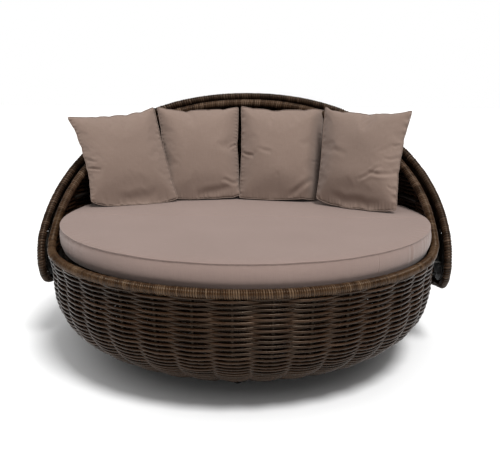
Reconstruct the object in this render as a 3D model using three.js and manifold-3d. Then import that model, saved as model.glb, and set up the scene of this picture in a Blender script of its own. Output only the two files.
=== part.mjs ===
// Round outdoor daybed with a folding woven canopy.
// Units are millimetres, +X to the sitter's left seen from the front view's right, +Y to the back, +Z up.
// The shapes are laid out about the vertical axis of the round bowl, then the whole group is
// moved so that its origin is the middle of its footprint, on the ground.
import * as THREE from 'three';
import { mergeVertices } from 'three/addons/utils/BufferGeometryUtils.js';
import Module from 'manifold-3d';

const wasm = await Module();
wasm.setup();

// ---------------------------------------------------------------- driving dimensions
const GAP = 0.3;                 // clearance between pieces that touch
const RIM_R = 880;               // rim tube centre line, radius in plan
const RIM_Z = 527;               // rim tube centre line, height
const TUBE = 20;                 // wrapped tube, outer radius
const WEAVE_T = 6;               // thickness of the woven shells
const ARCH_A = 888;              // backrest arch: half width and height in its own plane
const ARCH_P = 2.09;             // backrest arch: exponent of its outline
const ARCH_Y = -41, ARCH_Z = 560; // foot line of the backrest arch
const ARCH_LEAN = 50;            // degrees from upright
const HOOD_A = 961;              // hood tube: half width and height in its own plane
const HOOD_P = 2.13;
const HOOD_LEAN = 50;            // front tube, degrees from upright, folded back
const HOOD_REAR = 100;           // rear tube, degrees from upright, folded back
const HOOD_RE = 140;             // radius of the rounded lower ends about the pivot
const PIVOT_Y = 107, PIVOT_Z = 435;
const HOOD_TRAVEL = 66;          // degrees from folded back to raised
const BOWL_R = 876, BOWL_RB = 378, BOWL_ZT = 438, BOWL_ZB = 44; // bowl, middle of the weave
const BOWL_N = 1.857, BOWL_M = 2.989;
const FRAME_TUBE = 11;           // radius of the welded frame's tubes
const RING_R = 843, RING_Z = 493; // upper frame ring, which carries the slats
const LOW_R = 392, LOW_Z = 64;   // lower frame ring
const RIBS = 10;
const SLAT_W = 118, SLAT_T = 17, SLAT_PITCH = 178, SLAT_N = 9, SLAT_R = 836;
const MATT_R = 843, MATT_X = 6, MATT_Z0 = 523.2, MATT_Z1 = 638;
const FOOT_R = 450, FOOT_N = 6, FOOT_H = 22, FOOT_RAD = 18;
const BOLT_R = 6;
const Y_SHIFT = -90.2;           // puts the origin in the middle of the footprint

// ---------------------------------------------------------------- materials
const mat = (color, roughness, metalness = 0) => new THREE.MeshStandardMaterial({ color, roughness, metalness });
const M = {
  wicker: mat(0x4a3a2f, 0.55), wrap: mat(0x5d4a3b, 0.5), frame: mat(0x2b2724, 0.45, 0.6),
  slat: mat(0x3a332d, 0.6), steel: mat(0xb8b8b8, 0.3, 1), plastic: mat(0x141414, 0.6),
  fabric: mat(0xa4917f, 0.95), pillow: mat(0x97826f, 0.95),
};

// ---------------------------------------------------------------- solids
function toSolid(geometry) {
  const g = geometry.clone();
  for (const name of Object.keys(g.attributes)) if (name !== 'position') g.deleteAttribute(name);
  const m = mergeVertices(g, 1e-3);
  const pos = m.attributes.position.array, idx = m.index.array;
  const tri = [];
  for (let i = 0; i < idx.length; i += 3) {
    const [a, b, c] = [idx[i], idx[i + 1], idx[i + 2]];
    if (a !== b && b !== c && a !== c) tri.push(a, b, c);
  }
  return new wasm.Manifold(new wasm.Mesh({ numProp: 3, vertProperties: new Float32Array(pos), triVerts: new Uint32Array(tri) }));
}
function fromSolid(s) {
  const m = s.getMesh();
  const g = new THREE.BufferGeometry();
  const v = m.vertProperties, n = m.numProp, out = new Float32Array((v.length / n) * 3);
  for (let i = 0; i < v.length / n; i++) for (let k = 0; k < 3; k++) out[3 * i + k] = v[n * i + k];
  g.setAttribute('position', new THREE.BufferAttribute(out, 3));
  g.setIndex(Array.from(m.triVerts));
  g.computeVertexNormals();
  return g;
}
const union = (list) => list.reduce((a, b) => a.add(b));

const deg = Math.PI / 180;
const circleShape = (r, n) => {
  const s = new THREE.Shape();
  for (let i = 0; i < n; i++) {
    const a = (2 * Math.PI * (i + 0.5)) / n;
    if (i) s.lineTo(r * Math.cos(a), r * Math.sin(a)); else s.moveTo(r * Math.cos(a), r * Math.sin(a));
  }
  s.closePath();
  return s;
};
const polyShape = (pts) => {
  const s = new THREE.Shape();
  pts.forEach(([x, y], i) => (i ? s.lineTo(x, y) : s.moveTo(x, y)));
  s.closePath();
  return s;
};
// a tube of n sides along a smooth line through the points
function tube(points, r, steps, sides = 8, closed = false) {
  const curve = new THREE.CatmullRomCurve3(points, closed, 'centripetal');
  curve.arcLengthDivisions = 800;
  return new THREE.ExtrudeGeometry(circleShape(r, sides), { steps, bevelEnabled: false, extrudePath: curve });
}
// a full ring about Z, as a lathe
function ring(R, z, r, seg = 40, sides = 8) {
  const pts = [];
  for (let i = 0; i <= sides; i++) {
    const a = (2 * Math.PI * (i % sides) + Math.PI) / sides;
    pts.push(new THREE.Vector2(R + r * Math.cos(a), r * Math.sin(a)));
  }
  return new THREE.LatheGeometry(pts, seg).rotateX(Math.PI / 2).translate(0, 0, z);
}
// a closed loop profile of [radius, height] turned about Z
function latheZ(profile, seg, closed = false) {
  const pts = profile.map(([r, z]) => new THREE.Vector2(r, z));
  if (closed) pts.push(pts[0].clone());
  return new THREE.LatheGeometry(pts, seg).rotateX(Math.PI / 2);
}
// a shape drawn in the YZ plane, extruded from x0 to x1
function plateX(pts, x0, x1) {
  const g = new THREE.ExtrudeGeometry(polyShape(pts), { depth: x1 - x0, bevelEnabled: false });
  // shape (x, y) -> (Y, Z), depth -> X
  const m = new THREE.Matrix4().makeBasis(new THREE.Vector3(0, 1, 0), new THREE.Vector3(0, 0, 1), new THREE.Vector3(1, 0, 0));
  return g.applyMatrix4(m).translate(x0, 0, 0);
}
const discPts = (r, n, cy = 0, cz = 0, a0 = 0) => Array.from({ length: n }, (_, i) => {
  const a = a0 + (2 * Math.PI * i) / n;
  return [cy + r * Math.cos(a), cz + r * Math.sin(a)];
});
const cylX = (r, x0, x1, cy, cz, n = 20) => plateX(discPts(r, n, cy, cz, Math.PI / n), x0, x1);

const root = new THREE.Group();
const model = new THREE.Group();
model.position.y = Y_SHIFT;
root.add(model);
function put(name, geometry, material) {
  const mesh = new THREE.Mesh(geometry, material);
  mesh.name = name;
  model.add(mesh);
  return mesh;
}

// ---------------------------------------------------------------- rim and backrest arch
const archPoint = (x, side) => {
  const v = ARCH_A * Math.pow(Math.max(0, 1 - Math.pow(Math.abs(x) / ARCH_A, ARCH_P)), 1 / ARCH_P);
  return new THREE.Vector3(x * side, ARCH_Y + v * Math.sin(ARCH_LEAN * deg), ARCH_Z + v * Math.cos(ARCH_LEAN * deg));
};
const archByT = (t) => {       // t from 0 (right foot) to 1 (left foot)
  const a = t * Math.PI, c = Math.cos(a), s = Math.sin(a);
  const x = ARCH_A * Math.sign(c) * Math.pow(Math.abs(c), 2 / ARCH_P);
  const v = ARCH_A * Math.pow(Math.max(0, s), 2 / ARCH_P);
  return new THREE.Vector3(x, ARCH_Y + v * Math.sin(ARCH_LEAN * deg), ARCH_Z + v * Math.cos(ARCH_LEAN * deg));
};
const rimPoint = (a) => new THREE.Vector3(RIM_R * Math.sin(a * deg), -RIM_R * Math.cos(a * deg), RIM_Z);
const T_JOIN = 0.045;
const rimPts = [];
{
  const up = [];
  for (const t of [T_JOIN, 0.025]) up.push(archByT(t));
  for (const p of up) rimPts.push(p);
  rimPts.push(new THREE.Vector3(881.5, -104, RIM_Z + 6));
  for (let a = 78; a >= -78; a -= 6) rimPts.push(rimPoint(a));
  rimPts.push(new THREE.Vector3(-881.5, -104, RIM_Z + 6));
  for (const p of up.reverse()) rimPts.push(new THREE.Vector3(-p.x, p.y, p.z));
}
const archPts = [];
for (let i = 0; i <= 40; i++) archPts.push(archByT(T_JOIN + (1 - 2 * T_JOIN) * (i / 40)));
// butt joint: pull the arch's ends back by the gap
{
  const pull = (p, q, d) => p.clone().add(q.clone().sub(p).setLength(d));
  archPts[0] = pull(archPts[0], archPts[1], GAP + 0.6);
  archPts[40] = pull(archPts[40], archPts[39], GAP + 0.6);
}
const rimFat = toSolid(tube(rimPts, TUBE + GAP, 60));
const archFat = toSolid(tube(archPts, TUBE + GAP, 40));
const rimSolid = toSolid(tube(rimPts, TUBE, 60));
const archSolid = toSolid(tube(archPts, TUBE, 40)).subtract(rimFat.scale([1, 1, 1]));
put('rim_tube', fromSolid(rimSolid), M.wrap);
put('backrest_arch_tube', fromSolid(archSolid), M.wrap);

// ---------------------------------------------------------------- woven bowl and backrest
const bowlMid = [];
for (let i = 0; i <= 7; i++) {
  const a = (i / 7) * 90 * deg;
  const r = BOWL_RB + (BOWL_R - BOWL_RB) * Math.pow(Math.cos(a), 2 / BOWL_N);
  const z = BOWL_ZT - (BOWL_ZT - BOWL_ZB) * Math.pow(Math.sin(a), 2 / BOWL_M);
  bowlMid.push([r, z]);
}
bowlMid.reverse();                                // from the bottom up
bowlMid.push([882, 530]);
const backMid = [[883, 485], [885, 560]];
for (const x of [868, 825, 750, 640, 480, 300, 100]) {
  const p = archPoint(x, 1);
  backMid.push([Math.hypot(p.x, p.y), p.z]);
}
backMid.push([540, 1150]);
function shellProfile(mid, t) {
  const out = [], inn = [];
  for (let i = 0; i < mid.length; i++) {
    const a = mid[Math.max(0, i - 1)], b = mid[Math.min(mid.length - 1, i + 1)];
    const dx = b[0] - a[0], dz = b[1] - a[1], l = Math.hypot(dx, dz);
    out.push([mid[i][0] + (dz / l) * t / 2, mid[i][1] - (dx / l) * t / 2]);
    inn.push([mid[i][0] - (dz / l) * t / 2, mid[i][1] + (dx / l) * t / 2]);
  }
  return out.concat(inn.reverse());
}
const SEG = 44;
const bowlFull = toSolid(latheZ(shellProfile(bowlMid, WEAVE_T), SEG, true));
const backFull = toSolid(latheZ(shellProfile(backMid, WEAVE_T), SEG, true));
const BIG = 1400;
const SPLIT = RIM_Z - 19;                         // the two shells meet under the rim's height
const above = toSolid(plateX([[-BIG, SPLIT], [BIG, SPLIT], [BIG, BIG], [-BIG, BIG]], -BIG, BIG));
const below = toSolid(plateX([[-BIG, -100], [BIG, -100], [BIG, SPLIT + GAP], [-BIG, SPLIT + GAP]], -BIG, BIG));
const c50 = Math.cos(ARCH_LEAN * deg), s50 = Math.sin(ARCH_LEAN * deg);
const front = toSolid(plateX([
  [ARCH_Y - 1600 * s50, ARCH_Z - 1600 * c50], [ARCH_Y + 1600 * s50, ARCH_Z + 1600 * c50],
  [-BIG, 2600], [-BIG - 600, -400],
], -BIG, BIG));
const pivotHole = [-1, 1].map((s) => toSolid(cylX(23, Math.min(s * 800, s * 930), Math.max(s * 800, s * 930), PIVOT_Y, PIVOT_Z)));
put('bowl_weave', fromSolid(bowlFull.subtract(above).subtract(rimFat).subtract(pivotHole[0]).subtract(pivotHole[1])), M.wicker);
const parts = backFull.subtract(below).subtract(front).subtract(archFat).subtract(rimFat).decompose();
parts.sort((a, b) => b.volume() - a.volume());
put('backrest_weave', fromSolid(parts[0]), M.wicker);

// ---------------------------------------------------------------- welded frame inside the weave
const inner = (i, d) => {                          // point on the bowl's inside, d from the middle of the weave
  const a = bowlMid[Math.max(0, i - 1)], b = bowlMid[Math.min(bowlMid.length - 1, i + 1)];
  const dx = b[0] - a[0], dz = b[1] - a[1], l = Math.hypot(dx, dz);
  return [bowlMid[i][0] - (dz / l) * d, bowlMid[i][1] + (dx / l) * d];
};
const OFF = WEAVE_T / 2 + FRAME_TUBE + 7;
const frameParts = [toSolid(ring(RING_R, RING_Z, FRAME_TUBE + 1, 32, 5)), toSolid(ring(LOW_R, LOW_Z, FRAME_TUBE + 1, 20, 5))];
for (let k = 0; k < RIBS; k++) {
  const a = ((k + 0.5) / RIBS) * 2 * Math.PI;
  const pts = [[LOW_R, LOW_Z]];
  for (const i of [2, 3, 4, 5, 6, 7]) pts.push(inner(i, OFF));
  pts.push([RING_R, RING_Z]);
  frameParts.push(toSolid(tube(pts.map(([r, z]) => new THREE.Vector3(r * Math.sin(a), -r * Math.cos(a), z)), FRAME_TUBE - 1, 6, 5)));
}
for (const x of [-280, 280]) {
  const h = Math.sqrt(RING_R * RING_R - x * x);
  frameParts.push(toSolid(tube([new THREE.Vector3(x, -h, RING_Z), new THREE.Vector3(x, 0, RING_Z), new THREE.Vector3(x, h, RING_Z)], FRAME_TUBE, 2, 6)));
}
for (let k = 0; k < FOOT_N; k++) {                 // short legs on arms of the lower ring
  const a = (k / FOOT_N) * 2 * Math.PI, c = Math.cos(a), s = Math.sin(a);
  const at = (r, z) => new THREE.Vector3(r * s, -r * c, z);
  frameParts.push(toSolid(tube([at(LOW_R - 4, LOW_Z), at((LOW_R + FOOT_R) / 2, LOW_Z), at(FOOT_R, LOW_Z)], FRAME_TUBE - 2, 1, 6)));
  frameParts.push(toSolid(latheZ([[0, FOOT_H + GAP], [13, FOOT_H + GAP], [13, LOW_Z + 6], [0, LOW_Z + 6]], 10).translate(FOOT_R * s, -FOOT_R * c, 0)));
}
const legHoles = Array.from({ length: FOOT_N }, (_, k) => {
  const a = (k / FOOT_N) * 2 * Math.PI;
  return toSolid(latheZ([[0, 10], [15, 10], [15, 120], [0, 120]], 10).translate(FOOT_R * Math.sin(a), -FOOT_R * Math.cos(a), 0));
});
const frameSolid = union(frameParts);
put('base_frame', fromSolid(frameSolid), M.frame);
// the bowl's weave is open where the legs come through
{
  const bowl = model.getObjectByName('bowl_weave');
  let s = toSolid(bowl.geometry);
  for (const h of legHoles) s = s.subtract(h);
  bowl.geometry = fromSolid(s);
}
for (let k = 0; k < FOOT_N; k++) {
  const a = (k / FOOT_N) * 2 * Math.PI;
  put(`foot_${k + 1}`, latheZ([[0, 0], [FOOT_RAD - 3, 0], [FOOT_RAD, 3], [FOOT_RAD, 12], [14, FOOT_H], [0, FOOT_H]], 12)
    .translate(FOOT_R * Math.sin(a), -FOOT_R * Math.cos(a), 0), M.plastic);
}

// ribs behind the backrest weave's inner face
{
  const mids = backMid.slice(0, -1);
  const innerB = (i, d) => {
    const a = mids[Math.max(0, i - 1)], b = mids[Math.min(mids.length - 1, i + 1)];
    const dx = b[0] - a[0], dz = b[1] - a[1], l = Math.hypot(dx, dz);
    return [mids[i][0] - (dz / l) * d, mids[i][1] + (dx / l) * d];
  };
  const list = [];
  const d = WEAVE_T / 2 + 13;
  // hoop at the height of the mattress's top, from side to side
  const hz = 690, hr = 858;
  const hoop = [];
  for (let i = 0; i <= 16; i++) {
    const a = (-78 + (156 * i) / 16) * deg;
    hoop.push(new THREE.Vector3(hr * Math.sin(a), hr * Math.cos(a), hz));
  }
  list.push(toSolid(tube(hoop, 8, 18, 5)));
  for (const [a, top] of [[-50, 5], [-25, 6], [0, 7], [25, 6], [50, 5]]) {
    const pts = [];
    for (let i = 0; i <= top; i++) pts.push(i === 0 ? [856, 516] : innerB(i, d));
    list.push(toSolid(tube(pts.map(([r, z]) => new THREE.Vector3(r * Math.sin(a * deg), r * Math.cos(a * deg), z)), 8, 6, 5)));
  }
  const s = union(list).subtract(archFat).subtract(front);
  const p = s.decompose().sort((x, y) => y.volume() - x.volume());
  put('backrest_ribs', fromSolid(p[0]), M.frame);
}

// ---------------------------------------------------------------- deck
for (let i = 0; i < SLAT_N; i++) {
  const y = (i - (SLAT_N - 1) / 2) * SLAT_PITCH;
  const e0 = Math.abs(y) + SLAT_W / 2, e1 = Math.max(0, Math.abs(y) - SLAT_W / 2);
  const h0 = Math.sqrt(SLAT_R * SLAT_R - e0 * e0), h1 = Math.sqrt(SLAT_R * SLAT_R - e1 * e1);
  const lo = y < 0 ? h0 : h1, hi = y < 0 ? h1 : h0;       // half length at the slat's front and back edge
  const s = polyShape([[-lo, y - SLAT_W / 2], [lo, y - SLAT_W / 2], [hi, y + SLAT_W / 2], [-hi, y + SLAT_W / 2]]);
  put(`deck_slat_${i + 1}`, new THREE.ExtrudeGeometry(s, { depth: SLAT_T, bevelEnabled: false }).translate(0, 0, MATT_Z0 - GAP - SLAT_T), M.slat);
}

// ---------------------------------------------------------------- mattress
put('mattress', latheZ([
  [0, MATT_Z0], [MATT_R - 18, MATT_Z0], [MATT_R - 4, MATT_Z0 + 10], [MATT_R, MATT_Z0 + 40], [MATT_R, MATT_Z1 - 38],
  [MATT_R - 4, MATT_Z1 - 10], [MATT_R - 14, MATT_Z1 - 2], [MATT_R * 0.6, MATT_Z1], [0, MATT_Z1],
], 48).translate(MATT_X, 0, 0), M.fabric);

// ---------------------------------------------------------------- pillows
// middle x, y, z, then turn about Z, lean back and roll in degrees, then width, height, thickness
const PILLOWS = [
  [-578, 276, 843, 26, -17, -1.5, 382, 418, 112],
  [-246, 470, 861, 9, -18, -1.0, 384, 454, 130],
  [166, 466, 864, -8, -20, -1.0, 392, 470, 130],
  [561, 250, 852, -32, -18, 0.5, 398, 442, 130],
];
PILLOWS.forEach(([x, y, z, yaw, lean, roll, w, h, t], k) => {
  const g = new THREE.SphereGeometry(1, 16, 10);
  g.rotateX(Math.PI / 2);
  const p = g.attributes.position;
  const sp = (c, e) => Math.sign(c) * Math.pow(Math.abs(c), e);
  for (let i = 0; i < p.count; i++) {
    const X = p.getX(i), Y = p.getY(i), Z = p.getZ(i);
    // a squarish lens: wide outline with full corners, thin at its edge
    const r = Math.hypot(X, Y), a = Math.atan2(Y, X);
    const k1 = Math.pow(Math.pow(Math.abs(Math.cos(a)), 5) + Math.pow(Math.abs(Math.sin(a)), 5), -1 / 5);
    p.setXYZ(i, (w / 2) * r * k1 * Math.cos(a), -sp(Z, 0.8) * (t / 2), (h / 2) * r * k1 * Math.sin(a));
  }
  const s = fromSolid(toSolid(g));
  const mesh = put(`pillow_${k + 1}`, s, M.pillow);
  mesh.position.set(x, y, z);
  mesh.rotation.set(lean * deg, roll * deg, yaw * deg, 'ZXY');
});

// ---------------------------------------------------------------- hood
const uF = [Math.sin(HOOD_LEAN * deg), Math.cos(HOOD_LEAN * deg)], nF = [-Math.cos(HOOD_LEAN * deg), Math.sin(HOOD_LEAN * deg)];
const uR = [Math.sin(HOOD_REAR * deg), Math.cos(HOOD_REAR * deg)], nR = [Math.cos(HOOD_REAR * deg), -Math.sin(HOOD_REAR * deg)];
const hoodArch = (t, u, n) => {
  const a = t * Math.PI, c = Math.cos(a), s = Math.sin(a);
  const x = HOOD_A * Math.sign(c) * Math.pow(Math.abs(c), 2 / HOOD_P);
  const v = HOOD_A * Math.pow(Math.max(0, s), 2 / HOOD_P);
  return new THREE.Vector3(x, PIVOT_Y + HOOD_RE * n[0] + v * u[0], PIVOT_Z + HOOD_RE * n[1] + v * u[1]);
};
const angF = Math.atan2(nF[1], nF[0]) / deg;              // 130
const angR = Math.atan2(nR[1], nR[0]) / deg + 360;        // 260
const endPts = (side) => {                                // rounded end, from the front tube down to the rear tube
  const out = [];
  for (let i = 1; i <= 7; i++) {
    const a = (angF + ((angR - angF) * i) / 7) * deg;
    out.push(new THREE.Vector3(side * HOOD_A, PIVOT_Y + HOOD_RE * Math.cos(a), PIVOT_Z + HOOD_RE * Math.sin(a)));
  }
  return out;
};
const frontPts = [...endPts(1).reverse()];
for (let i = 0; i <= 40; i++) frontPts.push(hoodArch(i / 40, uF, nF));
frontPts.push(...endPts(-1));
const rearPts = [];
for (let i = 0; i <= 40; i++) rearPts.push(hoodArch(i / 40, uR, nR));
const hoodFrontFat = toSolid(tube(frontPts, TUBE + GAP, 64));
const hoodRearFat = toSolid(tube(rearPts, TUBE + GAP, 40));
put('hood_front_tube', fromSolid(toSolid(tube(frontPts, TUBE, 64))), M.wrap);
{
  const s = toSolid(tube(rearPts, TUBE, 40)).subtract(hoodFrontFat).decompose().sort((x, y) => y.volume() - x.volume());
  put('hood_rear_tube', fromSolid(s[0]), M.wrap);
}
const hoodR = (x) => {                                    // radius of the hood's surface about the pivot axis
  const v = HOOD_A * Math.pow(Math.max(0, 1 - Math.pow(Math.abs(x) / HOOD_A, HOOD_P)), 1 / HOOD_P);
  return Math.hypot(v, HOOD_RE);
};
const hoodXs = [0, 210, 400, 570, 710, 815, 885, 930, 955];
const hoodMid = [[120.5, -962], ...hoodXs.slice(1).reverse().map((x) => [hoodR(x), -x]), ...hoodXs.map((x) => [hoodR(x), x]), [120.5, 962]];
function latheX(profile, seg) {                           // [radius, x] turned about the pivot axis
  const g = latheZ(profile, seg, true);
  return g.applyMatrix4(new THREE.Matrix4().makeBasis(new THREE.Vector3(0, 1, 0), new THREE.Vector3(0, 0, 1), new THREE.Vector3(1, 0, 0)))
    .translate(0, PIVOT_Y, PIVOT_Z);
}
const P2 = (k, n, u) => [PIVOT_Y + HOOD_RE * n[0] + k * u[0], PIVOT_Z + HOOD_RE * n[1] + k * u[1]];
const wedge = toSolid(plateX([
  [PIVOT_Y, PIVOT_Z], P2(0, nR, uR), P2(2600, nR, uR), P2(2600, nF, uF), P2(0, nF, uF),
], -BIG, BIG));
{
  const shell = toSolid(latheX(shellProfile(hoodMid, WEAVE_T), 54));
  const s = shell.intersect(wedge).subtract(hoodFrontFat).subtract(hoodRearFat).decompose().sort((x, y) => y.volume() - x.volume());
  put('hood_weave', fromSolid(s[0]), M.wicker);
}
// ribs inside the hood
const PLATE_R = HOOD_RE - TUBE - 1;      // the plates fill the tube's rounded ends
for (const [name, ang] of [['hood_rib_upper', 27], ['hood_rib_middle', 9]]) {
  const pts = [];
  const A = 944, B = hoodR(0) - WEAVE_T / 2 - 12;
  for (let i = 0; i <= 32; i++) {
    const a = (i / 32) * Math.PI, c = Math.cos(a), s = Math.sin(a);
    const x = A * Math.sign(c) * Math.pow(Math.abs(c), 2 / 2.11);
    const r = Math.max(PLATE_R + 2, B * Math.pow(Math.max(0, s), 2 / 2.11));
    if (B * Math.pow(Math.max(0, s), 2 / 2.11) < PLATE_R + 2 && i !== 0 && i !== 32) continue;
    pts.push(new THREE.Vector3(x, PIVOT_Y + r * Math.cos(ang * deg), PIVOT_Z + r * Math.sin(ang * deg)));
  }
  put(name, fromSolid(toSolid(tube(pts, 5, 30, 5))), M.frame);
}
// pivots, one set on each side
for (const [tag, s] of [['left', -1], ['right', 1]]) {
  const X = (a, b) => (s > 0 ? [a, b] : [-b, -a]);
  const cyl = (r, a, b, n = 20, cy = PIVOT_Y, cz = PIVOT_Z) => toSolid(cylX(r, ...X(a, b), cy, cz, n));
  const at = (r, ang) => [PIVOT_Y + r * Math.cos(ang * deg), PIVOT_Z + r * Math.sin(ang * deg)];
  // base side: plate outside the weave, boss through it
  const clipZ = 64;
  const pts = discPts(104, 36).map(([y, z]) => [PIVOT_Y + y, PIVOT_Z + Math.min(z, clipZ)]).filter((p, i, l) => i === 0 || Math.abs(p[1] - l[i - 1][1]) > 0.01 || Math.abs(p[0] - l[i - 1][0]) > 0.01);
  let bracket = toSolid(plateX(pts, ...X(893, 899))).add(cyl(22, 852, 894)).subtract(cyl(BOLT_R + 0.35, 800, 960));
  put(`pivot_bracket_${tag}`, fromSolid(bracket), M.frame);
  const bolt = cyl(BOLT_R, 846, 956, 16).add(toSolid(plateX(discPts(11, 6, PIVOT_Y, PIVOT_Z), ...X(839, 846.5))));
  put(`pivot_bolt_${tag}`, fromSolid(bolt), M.steel);
  put(`spacer_bush_${tag}`, fromSolid(cyl(15, 899 + GAP, 939).subtract(cyl(BOLT_R + 0.35, 800, 960))), M.steel);
  put(`friction_washer_${tag}`, fromSolid(cyl(32, 939 + GAP, 941.2, 24).subtract(cyl(BOLT_R + 0.35, 800, 960))), M.plastic);
  // hood side: plate with a lug that runs between the two stop pins
  const [ly, lz] = at(90, 195);
  const lug = toSolid(plateX(discPts(8, 12, ly, lz), ...X(925, 942)));
  const plate = toSolid(plateX(discPts(PLATE_R, 32, PIVOT_Y, PIVOT_Z), ...X(941.5, 946))).add(lug).subtract(cyl(BOLT_R + 0.35, 800, 960));
  put(`hood_pivot_plate_${tag}`, fromSolid(plate), M.frame);
  const d = ((8 + 5 + 1.3) / 90) / deg;
  for (const [nm, ang] of [['folded', 195 - d], ['raised', 195 + HOOD_TRAVEL + d]]) {
    const [py, pz] = at(90, ang);
    put(`stop_pin_${nm}_${tag}`, cylX(5, ...X(899 + GAP, 938), py, pz, 12), M.steel);
  }
  put(`cap_nut_${tag}`, fromSolid(toSolid(plateX(discPts(11, 6, PIVOT_Y, PIVOT_Z), ...X(946 + GAP, 955))).subtract(cyl(BOLT_R + GAP, 800, 990))), M.steel);
  put(`hood_end_weave_${tag}`, cylX(PLATE_R - 1, ...X(963, 971), PIVOT_Y, PIVOT_Z, 32), M.wicker);
}

export default root;
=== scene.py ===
import math
import bpy
import numpy as np
from mathutils import Vector, Matrix


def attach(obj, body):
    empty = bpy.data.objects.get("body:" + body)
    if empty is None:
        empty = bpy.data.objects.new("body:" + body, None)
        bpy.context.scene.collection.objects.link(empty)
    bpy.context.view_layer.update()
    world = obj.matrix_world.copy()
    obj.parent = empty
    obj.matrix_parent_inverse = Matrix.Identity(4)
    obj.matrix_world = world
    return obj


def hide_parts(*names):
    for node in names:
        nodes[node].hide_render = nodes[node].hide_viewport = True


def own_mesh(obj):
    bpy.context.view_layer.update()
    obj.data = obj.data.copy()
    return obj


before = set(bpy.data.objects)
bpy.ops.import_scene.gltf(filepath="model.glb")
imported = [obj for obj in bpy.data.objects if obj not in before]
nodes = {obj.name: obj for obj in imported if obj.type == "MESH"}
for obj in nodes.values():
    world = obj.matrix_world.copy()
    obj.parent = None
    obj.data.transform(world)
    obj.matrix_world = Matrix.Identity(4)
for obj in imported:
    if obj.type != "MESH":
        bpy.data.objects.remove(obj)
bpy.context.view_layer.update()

scene = bpy.context.scene
Y_SHIFT = -90.2          # the bowl's own axis stands this far from the frame's, mm
D = math.pi / 180


def as_row(P):
    """Points in mm about the bowl's axis, to metres in the frame."""
    P = np.array(P, float) / 1000.0
    P[..., 1] += Y_SHIFT / 1000.0
    return P


def unit(v):
    return v / np.maximum(np.linalg.norm(v, axis=-1, keepdims=True), 1e-12)


# ------------------------------------------------------------------ camera
CAM_F = 784.508                     # focal length in pixels of a 500 px wide picture
CAM_AT = Vector((0.16098, -3.70662, 1.37483))
CAM_PITCH, CAM_TURN, CAM_ROLL = 0.211605, 0.0354701, 0.00555677


def make_camera():
    cd = bpy.data.cameras.new("view")
    cam = bpy.data.objects.new("view", cd)
    scene.collection.objects.link(cam)
    cp, sp = math.cos(CAM_PITCH), math.sin(CAM_PITCH)
    f = Vector((-math.sin(CAM_TURN) * cp, math.cos(CAM_TURN) * cp, -sp))
    r = Vector((math.cos(CAM_TURN), math.sin(CAM_TURN), 0.0))
    u = r.cross(f)
    c, s = math.cos(CAM_ROLL), math.sin(CAM_ROLL)
    R, U = r * c + u * s, u * c - r * s
    m = Matrix.Identity(4)
    for k in range(3):
        m[k][0], m[k][1], m[k][2], m[k][3] = R[k], U[k], -f[k], CAM_AT[k]
    cam.matrix_world = m
    cd.sensor_fit = "HORIZONTAL"
    cd.sensor_width = 36.0
    cd.lens = CAM_F / 500.0 * 36.0
    cd.clip_start, cd.clip_end = 0.05, 100.0
    scene.camera = cam


make_camera()


# ------------------------------------------------------------------ mesh helpers
def new_mesh(name, V, Q=(), T=(), tone=None, weave=None, smooth=True):
    me = bpy.data.meshes.new(name)
    V = np.ascontiguousarray(V, np.float32)
    Q = np.ascontiguousarray(np.array(Q, np.int32).reshape(-1, 4))
    T = np.ascontiguousarray(np.array(T, np.int32).reshape(-1, 3))
    me.vertices.add(len(V))
    me.vertices.foreach_set("co", V.ravel())
    loops = np.concatenate([Q.ravel(), T.ravel()]).astype(np.int32)
    me.loops.add(len(loops))
    me.loops.foreach_set("vertex_index", loops)
    starts = np.concatenate([np.arange(len(Q)) * 4, len(Q) * 4 + np.arange(len(T)) * 3]).astype(np.int32)
    me.polygons.add(len(starts))
    me.polygons.foreach_set("loop_start", starts)
    me.update(calc_edges=True)
    me.validate()
    me.polygons.foreach_set("use_smooth", np.full(len(me.polygons), smooth))
    if tone is not None:
        a = me.attributes.new("tone", "FLOAT", "POINT")
        a.data.foreach_set("value", np.ascontiguousarray(tone, np.float32))
    if weave is not None:
        a = me.attributes.new("weave", "FLOAT_VECTOR", "POINT")
        a.data.foreach_set("vector", np.ascontiguousarray(weave, np.float32).ravel())
    ob = bpy.data.objects.new(name, me)
    scene.collection.objects.link(ob)
    return ob


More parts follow.
